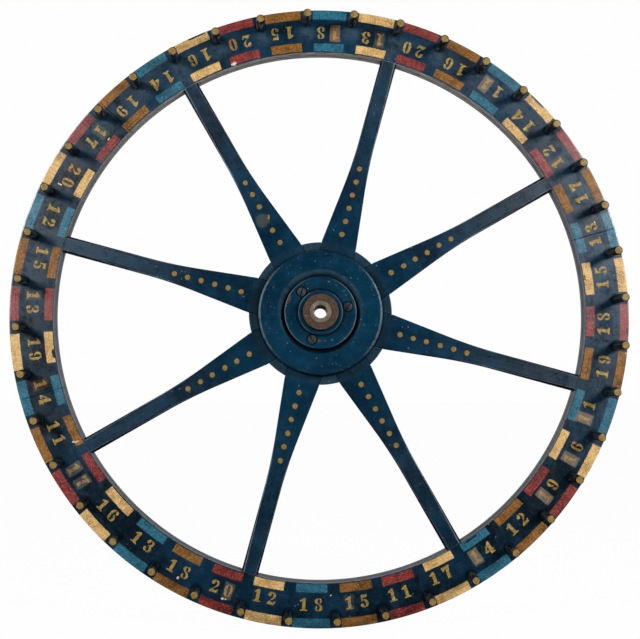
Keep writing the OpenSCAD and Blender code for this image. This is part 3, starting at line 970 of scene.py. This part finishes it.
def makeSpoke():
    # a section with bevelled front corners is extruded outwards and drawn in, station by station
    depth = spokes["back"] - faceY
    half, bevel, radius = spokeHalf(0), spokeBevel(0), spokes["start"]
    piece = edit(addShape("plane", (2 * half, depth, 1), size=1, location=(radius, faceY + depth / 2, 0),
                          rotation=(0, math.pi / 2, 0)))

    def narrow(share, x):
        bpy.ops.transform.resize(value=(1, 1, share), center_override=(x, 0, 0))

    bpy.ops.mesh.delete(type="ONLY_FACE")
    pick(piece, "edges", lambda e: near(e.verts[0].co.z, e.verts[1].co.z))
    bpy.ops.mesh.subdivide(number_cuts=1)
    pick(piece, "verts", lambda v: near(v.co.y, faceY + depth / 2))
    bpy.ops.transform.translate(value=(0, bevel - depth / 2, 0))
    pick(piece, "verts", lambda v: near(v.co.y, faceY))
    narrow(1 - bevel / half, radius)
    pick(piece, "edges", lambda e: atDepth(e, faceY))
    bpy.ops.mesh.subdivide(number_cuts=spokes["columns"] - 1)
    while radius < spokes["end"] - 1e-6:
        step = spokes["rootStep"] if radius < spokes["rootEnd"] else spokes["flareStep"]
        stops = [stop for stop in (spokes["hubRing"], spokes["end"]) if stop > radius + 1e-6]
        station = min(stops + [radius + step])
        newHalf, newBevel = spokeHalf(station), spokeBevel(station)
        pick(piece, "verts", lambda v: near(v.co.x, radius))
        pull(station - radius, 0, 0)
        narrow(newHalf / half, station)
        pick(piece, "verts", lambda v: near(v.co.x, station) and near(v.co.y, faceY))
        narrow((newHalf - newBevel) / ((half - bevel) * newHalf / half), station)
        pick(piece, "verts", lambda v: near(v.co.x, station) and near(v.co.y, faceY + bevel))
        bpy.ops.transform.translate(value=(0, newBevel - bevel, 0))
        half, bevel, radius = newHalf, newBevel, station
    fillEnds(piece, lambda p: near(p.x, spokes["start"]), lambda p: near(p.x, spokes["end"]))
    mitre = spokeStep / 2
    for side in (1, -1):
        pickAll()
        bpy.ops.mesh.bisect(plane_co=(spokes["glue"] / 2 / math.sin(mitre), 0, 0),
                            plane_no=(-math.sin(mitre), 0, side * math.cos(mitre)),
                            use_fill=True, clear_outer=True)
    faceOut()
    bevelEdges(piece, spokes["arris"], 2,
               lambda e: atDepth(e, spokes["back"]) and e.calc_face_angle(0) > 1, "edge")
    pick(piece, "verts", lambda v: near(abs(v.co.z), spokeHalf(v.co.x))
         and v.co.y < faceY + spokes["bevel"] + 1e-5)
    markPicked(piece, "edge")
    pick(piece, "verts", lambda v: near(v.co.y, faceY)
         and near(abs(v.co.z), spokeHalf(v.co.x) - spokeBevel(v.co.x)))
    markPicked(piece, "ridge")
    return tidyMesh(piece)


def hubDust(place, radius, colour, strength):
    # dust on the ring round the front disc, and painted shade in the corner at the disc's foot
    inRing = radius.ease(spokes["hubRing"] + 0.005, spokes["hubRing"] - 0.004)
    cover = 0.5 + place.noise(60, 4, 0.6).ease(0.3, 0.65) * 0.5
    colour = (inRing * cover * strength).over(colour, "#2f424b")
    # painted shade at the disc's foot
    uneven = radius + place.noise(140, 3) * 0.0012
    foot = uneven.ease(hub["discRadius"] + 0.0045, hub["discRadius"] + 0.002)
    return (foot * 0.85).over(colour, "grimeAndShade")


def spokePaint():
    # navy paint with its grain along each spoke
    material, place = startMaterial("spokePaint")
    x, y, z, radius, angle = polar(place)
    turn = angle - restTurn + 2 * math.pi + spokeStep / 2
    index = (turn / spokeStep).floor()
    local = turn - index * spokeStep - spokeStep / 2
    along = radius * local.maths("COSINE")
    across = radius * local.maths("SINE")
    grain = place.vector(along * 9 + index * 7.3, across * 300, y * 300)
    colour, rough, height, gloss = navyCoat(place, grain, "spoke")
    cover = place.ragged("worn", 170, 1.1, 0.3, 0.75)
    colour = (cover * 0.7).over(colour, "#474a45")
    colour = hubDust(place, radius, colour, 0.25)
    outside = radius.ease(spokes["hubRing"] - 0.001, spokes["hubRing"] + 0.002)
    colour, rub = wornEdge(place, colour, outside - 1.08)
    # painted shade makes the bevels black, and a painted highlight runs where they meet the face, brighter on
    # one side
    flankShade = abs(across).ease(spokes["thin"] - 0.0038, spokes["thin"] - 0.003)
    flankShade = flankShade * radius.ease(*spokes["flankShadeFrom"])
    ridge = place.ragged("ridge", 130, 0.6, 0.5, 0.9)
    outward = (across.maths("SIGN") * x.maths("SIGN") * z / radius).ease(-0.3, -0.8)
    colour = (ridge * radius.ease(*spokes["ridgeHighlightFrom"]) * (0.3 + outward * 0.6)).over(colour, "#77858d")
    seam = place.attribute("edge").ease(0.05, 0.4) * (1 - outside)
    # dark seams, the painted shade on the bevels and a darkening at the spoke's end
    dirtAndShade = seam.most(flankShade * (1 - ridge * 0.7), radius.ease(*spokes["endDarkening"]) * 0.15)
    colour = (dirtAndShade * 0.9).over(colour, "grimeAndShade")
    gloss = gloss * (1 - cover * 0.6) * (1 - dirtAndShade * 0.8)
    gloss = gloss * (0.15 + radius.ease(*spokes["glossFrom"]) * 0.95)
    finishMaterial(place, colour, rough + rub * 0.15 + cover * 0.1, height - rub * 0.5, 0.00018, gloss=gloss)
    return material


dots = dict(first=0.1212, step=0.0205, count=6, radius=0.0040, sides=18, sunk=0.0001, proud=0.00015,
            jitter=0.0005, stretch=(0.95, 1.06), draft=0.94, inset=0.3, crown=0.4,
            # the dot that was rubbed away, with the paint beside it
            wornSpoke=2, wornDot=2, wornWidth=0.45, wornShift=0.004, wornTurn=2.1, wornReach=0.0085,
            tones=("#7d5f1d", "#8f7330", "#503c11"))


def makeSpokes():
    paint = spokePaint()
    first = makeSpoke()
    for i in range(spokes["count"]):
        degrees = math.degrees(spokeStep) * i
        piece = copyTurned(first, degrees)
        worn = piece.data.attributes.new("worn", "FLOAT", "POINT")
        if i == dots["wornSpoke"]:
            radius = dots["first"] + dots["wornDot"] * dots["step"]
            middle = onWheel(radius, degrees + dots["wornTurn"], faceY)
            for spot, v in zip(worn.data, piece.data.vertices):
                spot.value = clamp(1.7 - (v.co - middle).length / dots["wornReach"])
        dress(piece, f"spoke{i + 1}", paint, f"spoke_{i + 1}")
    bpy.data.objects.remove(first)


makeSpokes()
print("spokes are drawn out and painted")


def dotPaint():
    material, place = startMaterial("dotPaint")
    base, bright, dark = (tint(code) for code in dots["tones"])
    tone = place.noise(300, 3, 0.6)
    colour = tone.ease(0.4, 0.7).mix(base, bright)
    colour = (place.noise(700, 3, 0.7).ease(0.54, 0.72) * 0.5).mix(colour, dark)
    finishMaterial(place, colour, 0.48 + tone * 0.1, tone, 0.0001)
    return material


def makeDots():
    copies = []
    for i in range(spokes["count"]):
        for j in range(dots["count"]):
            lost = (i, j) == (dots["wornSpoke"], dots["wornDot"])
            out, aside = (dice.uniform(-dots["jitter"], dots["jitter"]) for way in range(2))
            radius = dots["first"] + j * dots["step"] + out
            aside = (aside - dots["wornShift"] * lost) / radius
            spot = onWheel(radius, math.degrees(spokeStep * i + aside), faceY + dots["sunk"])
            wide, high = (dice.uniform(*dots["stretch"]) for way in range(2))
            wide = wide * (dots["wornWidth"] if lost else 1)
            dot = startDisc(spot, dots["radius"], dots["sides"], (wide, high, 1))
            pull(0, -dots["sunk"] - dots["proud"], 0)
            bpy.ops.transform.resize(value=(dots["draft"], 1, dots["draft"]),
                                     center_override=(spot.x, faceY, spot.z))
            bpy.ops.mesh.inset(thickness=dots["radius"] * dots["inset"])
            bpy.ops.transform.translate(value=(0, -dots["proud"] * dots["crown"], 0))
            copies.append(tidyMesh(dot))
    dress(joinAll(copies), "spokeDots", dotPaint())


makeDots()
print("dots are painted on the spokes")


# Hub wood

def ovalSpots(place, radius, turn, spots):
    # soft ragged spots: radius, degrees, half length along the turn and half width
    uneven = (place.noise(330, 3, 0.7) - 0.5) * 1.6
    found = None
    for high, degrees, length, width in spots:
        along = (turn - math.radians(degrees)) * (high / length)
        across = (radius - high) / width
        spot = (along * along + across * across + uneven).ease(1.1, 0.3)
        found = found.most(spot) if found else spot
    return found


def pinSpecks(place):
    # fine pale specks in loose groups
    return place.cells(190).ease(0.2, 0.1) * place.noise(60, 2).ease(0.5, 0.56)


def hubPaint():
    # turned navy wood with dust and painted light on the recess lip, painted shade in the recess, and rubbed
    # rims with a painted highlight
    material, place = startMaterial("hubPaint")
    x, y, z, radius, turn = polar(place)
    grain = place.vector(x * 22, z * 260, y * 260)
    colour, rough, height, gloss = navyCoat(place, grain, "hub")
    ring = radius.ease(hub["discRadius"] + 0.0001, hub["discRadius"] + 0.0004)
    colour = ring.mix(colour, hubDust(place, radius, colour, 0.65))
    lip = radius.ease(hub["recess"] - 0.001, hub["recess"])
    lip = lip * radius.ease(hub["recess"] + hub["lip"] + 0.003, hub["recess"] + hub["lip"])
    # dust and painted light on the upper half of the recess lip
    lipDustAndLight = lip * place.noise(70, 3).ease(0.2, 0.6) * z.ease(-0.03, 0.05)
    colour = (lipDustAndLight * 0.6).over(colour, "#33454d")
    colour, rub = wornEdge(place, colour, -0.06)
    # painted highlight on the disc's edge at the left and right
    paintedEdgeHighlight = place.ragged("edge", 110, 0.8, 0.8, 1.05)
    paintedEdgeHighlight = paintedEdgeHighlight * (abs(x) / radius).ease(0.6, 1.0) * radius.ease(*hub["edgeHighlightFrom"]) * (1 - ring)
    colour = (paintedEdgeHighlight * 0.6).over(colour, "#6c7a80")
    specks = ovalSpots(place, radius, turn, hub["specks"])
    colour = (specks.most(pinSpecks(place) * 0.7) * 0.4).over(colour, "pale")
    # painted shade in the groove round the flange, wide low down and narrow at the top, with the dark seams
    deep = radius - z.ease(0.04, -0.05) * 0.003 + z.ease(-0.01, 0.05) * 0.004
    dirtAndShade = deep.ease(hub["recess"] + 0.0025, hub["recess"] - 0.0005)
    dirtAndShade = dirtAndShade.most(place.attribute("seam").ease(0.05, 0.4))
    colour = (dirtAndShade * 0.9).over(colour, "grimeAndShade")
    rings = (radius * 2600).maths("SINE")
    rough = rough + lip * 0.2 + ring * 0.1
    gloss = gloss * (1 - dirtAndShade.most(lip, ring) * 0.8)
    finishMaterial(place, colour, rough, height + rings * 0.08 - rub * 0.4, 0.00018, gloss=gloss)
    return material


def makeFiller():
    # a round slab is cut down to the wedge between two spokes
    piece = edit(addShape("cylinder", vertices=hub["sides"], radius=spokes["hubRing"],
                          depth=spokes["back"] - faceY, location=(0, (faceY + spokes["back"]) / 2, 0),
                          rotation=upright))
    reach = spokes["root"] + spokes["glue"]
    for angle, side in ((0, -1), (spokeStep, 1)):
        normal = Vector((-math.sin(angle), 0, math.cos(angle))) * side
        pickAll()
        bpy.ops.mesh.bisect(plane_co=normal * -reach, plane_no=normal, use_fill=True, clear_outer=True)
    bevelEdges(piece, spokes["arris"], 2, lambda e: e.calc_face_angle(0) > 0.7, "edge")
    pick(piece, "faces", lambda f: abs(f.normal.y) > 0.99)
    bpy.ops.mesh.inset(thickness=support)
    markPicked(piece, "edge", 0.0)
    beside = reach - spokes["arris"] * 1.2
    sine, cosine = math.sin(spokeStep), math.cos(spokeStep)
    pick(piece, "verts", lambda v: v.co.z < beside or v.co.x * sine - v.co.z * cosine < beside)
    markPicked(piece, "seam")
    return tidyMesh(piece)


def makeHubWood():
    paint = hubPaint()
    first = makeFiller()
    for i in range(spokes["count"]):
        piece = copyTurned(first, math.degrees(spokeStep) * i)
        dress(piece, f"hubFiller{i + 1}", paint, f"hub_filler_{i + 1}")
    bpy.data.objects.remove(first)
    frontDisc = turnPiece([
        (hub["hole"], faceY), (hub["discRadius"], faceY), (hub["discRadius"], hub["discFront"], hub["edge"]),
        (hub["recess"], hub["discFront"], hub["lip"]), (hub["recess"], hub["recessY"]),
        (hub["hole"], hub["recessY"]),
    ], hub["sides"])
    dress(frontDisc, "frontHubDisc", paint, "front_hub_disc")
    rearDisc = turnPiece([
        (hub["hole"], spokes["back"]), (hub["rearRadius"], spokes["back"]),
        (hub["rearRadius"], hub["rearBack"], hub["edge"]), (hub["hole"], hub["rearBack"]),
    ], hub["sides"])
    dress(rearDisc, "rearHubDisc", paint, "rear_hub_disc")


makeHubWood()
print("hub wood is turned")


# Hub iron

iron = dict(bore=0.015925, barrel=0.024, plate=0.053, plateFront=hub["recessY"] - 0.0065, bevel=0.0012,
            collar=0.0325, slope=0.002, collarFront=hub["recessY"] - 0.0115, boss=0.026, bossBevel=0.001,
            front=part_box("front_flange")[0].y, back=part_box("front_flange")[1].y,
            rearPlate=(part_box("rear_flange")[0].y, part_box("rear_flange")[1].y), screwCircle=0.0412,
            head=0.0066, headSides=28, headBevel=0.0005, headInset=0.0003, shank=0.0021,
            sinkRadius=0.0074, sinkDepth=0.0012, sinkSides=32,
            slot=0.0014, slotDepth=0.0014, slotAngles=(50, 78, 126),
            frontTurns=(-17.5, 102.5, 222.5), rearTurns=(42.5, 162.5, 282.5), screws=("#232c33", "#414649"),
            # chips to the bare iron, and pale specks: radius, degrees, half length and half width
            rustSpots=((0.0498, 157, 0.0080, 0.0026), (0.0332, 101, 0.0036, 0.0020),
                       (0.0490, 13, 0.0050, 0.0016), (0.0415, -98, 0.0100, 0.0022),
                       (0.0465, 60, 0.0034, 0.0012)),
            specks=((0.0400, 118, 0.0012, 0.0010), (0.0414, 194, 0.0012, 0.0016),
                    (0.0420, -81, 0.0013, 0.0009), (0.0434, -67, 0.0014, 0.0008),
                    (0.0516, 169, 0.0016, 0.0008), (0.0470, 75, 0.0020, 0.0009)))


def ironPaint():
    # navy paint on cast iron, chipped to rust, with a bare brown end on the boss
    material, place = startMaterial("ironPaint")
    x, y, z, radius, turn = polar(place)
    colour, rough, height, gloss = navyCoat(place, place.vector(x * 130, y * 130, z * 130), "iron")
    bossEnd = (iron["front"] + 0.0012 - y).ease(0.0, 0.0006)
    facing = y.ease(faceY + 0.001, faceY)
    chips = ovalSpots(place, radius, turn, iron["rustSpots"]) * facing
    bare = bossEnd.most(chips * 0.8)
    rustNoise = place.noise(220, 5, 0.7)
    rust = rustNoise.ease(0.3, 0.7).mix(tint("#3e2f26"), tint("#5a4539"))
    # painted highlight on the flange and collar edges, strongest at the left and right
    rubbedAndHighlit = place.ragged("edge", 110, 0.8, 0.75, 1.0) * (abs(x) / radius).ease(0.1, 0.9)
    colour = (rubbedAndHighlit * 0.7).over(colour, "#5f6d74")
    colour = bare.mix(colour, rust)
    specks = ovalSpots(place, radius, turn, iron["specks"]).most(pinSpecks(place) * 0.7) * facing
    colour = (specks * 0.5).over(colour, "pale")
    # painted shade in the corners: round the sleeve, the boss, the collar and the screw heads
    joint = bossEnd * radius.ease(iron["bore"] + 0.001, iron["bore"] + 0.0002)
    groove = radius.ease(iron["boss"] + 0.0026, iron["boss"] + 0.0008) * (1 - bossEnd)
    out = iron["collar"] + iron["slope"]
    foot = radius.ease(out - 0.003, out - 0.001) * radius.ease(out + 0.0035, out)
    dirtAndShade = joint.most(groove, foot * 0.8)
    for degrees in iron["frontTurns"]:
        spot = onWheel(iron["screwCircle"], degrees, 0)
        dirtAndShade = dirtAndShade.most((x - spot.x).far(z - spot.z).ease(0.0092, iron["sinkRadius"]) * facing)
    colour = (dirtAndShade * 0.85).over(colour, "grimeAndShade")
    rough = rough + bare * 0.15
    height = height + place.noise(160, 4, 0.6) * 0.8 - bare * (1 - rustNoise * 0.5)
    gloss = gloss * (1 - bare * 0.7) * (1 - dirtAndShade * 0.8)
    finishMaterial(place, colour, rough, height, 0.00025, gloss=gloss)
    return material


def steelFinish(name, low, high, rough):
    # worn brown steel
    material, place = startMaterial(name)
    tone = place.noise(180, 5, 0.65)
    colour = tone.ease(0.3, 0.7).mix(tint(low), tint(high))
    colour = (place.noise(600, 3, 0.7).ease(0.55, 0.75) * 0.6).over(colour, "#2a201a")
    finishMaterial(place, colour, rough + tone * 0.2, tone, 0.0001, 0.35)
    return material


def cutWith(piece, cutters):
    for cutter in cutters:
        choose(piece)
        bpy.ops.object.modifier_add(type="BOOLEAN")
        cut = piece.modifiers[-1]
        cut.operation = "DIFFERENCE"
        cut.solver = "EXACT"
        cut.object = cutter
        bpy.ops.object.modifier_apply(modifier=cut.name)
        bpy.data.objects.remove(cutter)
    return piece


def makeSink(turn, y):
    # cutter for the hollow that a screw head sits in
    return addShape("cylinder", vertices=iron["sinkSides"], radius=iron["sinkRadius"],
                    depth=2 * iron["sinkDepth"], location=onWheel(iron["screwCircle"], turn, y),
                    rotation=upright)


def makeScrew(turn, y, face, slotAngle):
    # countersunk head with a sawn slot; face is -1 for the front of the wheel
    spot = onWheel(iron["screwCircle"], turn, y)
    piece = startDisc(spot, iron["head"], iron["headSides"])
    fall = iron["head"] - iron["shank"]
    small = iron["shank"] / iron["head"]
    pull(0, -face * fall, 0)
    bpy.ops.transform.resize(value=(small, 1, small), center_override=(spot.x, y - face * fall, spot.z))
    pull(0, -face * fall, 0)
    faceOut()
    bevelEdges(piece, iron["headBevel"], 2, lambda e: atDepth(e, y))
    tidyMesh(piece)
    cutter = addShape("cube", (4 * iron["head"], 2 * iron["slotDepth"], iron["slot"]), size=1, location=spot,
                      rotation=(0, -math.radians(slotAngle), 0))
    return cutWith(piece, [cutter])


def makeHubIron():
    paint = ironPaint()
    screwMetal = steelFinish("screwSteel", *iron["screws"], 0.5)
    rearFront, rearBack = iron["rearPlate"]
    front = turnPiece([
        (iron["bore"], iron["back"]), (iron["barrel"], iron["back"]), (iron["barrel"], hub["recessY"]),
        (iron["plate"], hub["recessY"]), (iron["plate"], iron["plateFront"], iron["bevel"]),
        (iron["collar"] + iron["slope"], iron["plateFront"]),
        (iron["collar"], iron["plateFront"] - iron["slope"]),
        (iron["collar"], iron["collarFront"], iron["bossBevel"]), (iron["boss"], iron["collarFront"]),
        (iron["boss"], iron["front"], iron["bossBevel"]), (iron["bore"], iron["front"]),
    ], hub["sides"])
    rear = turnPiece([
        (hub["hole"], rearFront), (iron["plate"], rearFront), (iron["plate"], rearBack, iron["bevel"]),
        (hub["hole"], rearBack),
    ], hub["sides"])
    outsides = dict(front=(iron["plateFront"], -1), rear=(rearBack, 1))
    for side, piece in dict(front=front, rear=rear).items():
        cutWith(piece, [makeSink(turn, outsides[side][0]) for turn in iron[side + "Turns"]])
        dress(piece, side + "Flange", paint, side + "_flange")
    for side, (y, face) in outsides.items():
        level = y - face * iron["headInset"]  # heads sit a little below the plate
        screws = [makeScrew(turn, level, face, angle)
                  for turn, angle in zip(iron[side + "Turns"], iron["slotAngles"])]
        dress(joinAll(screws), side + "FlangeScrews", screwMetal, side + "_flange_screws")


makeHubIron()
print("flanges and screws are in")


# Axle sleeve

sleeve = dict(bore=0.009525, radius=0.015875, mouth=0.001, front=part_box("axle_sleeve")[0].y,
              back=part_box("axle_sleeve")[1].y, sides=64, tones=("#64594d", "#877a69"))


def makeSleeve():
    piece = turnPiece([
        (sleeve["bore"], sleeve["back"], sleeve["mouth"]), (sleeve["radius"], sleeve["back"]),
        (sleeve["radius"], sleeve["front"]), (sleeve["bore"], sleeve["front"], sleeve["mouth"]),
    ], sleeve["sides"])
    metal = steelFinish("sleeveSteel", *sleeve["tones"], 0.4)
    dress(piece, "axleSleeve", metal, "axle_sleeve", "axle")


makeSleeve()
print("sleeve is in")
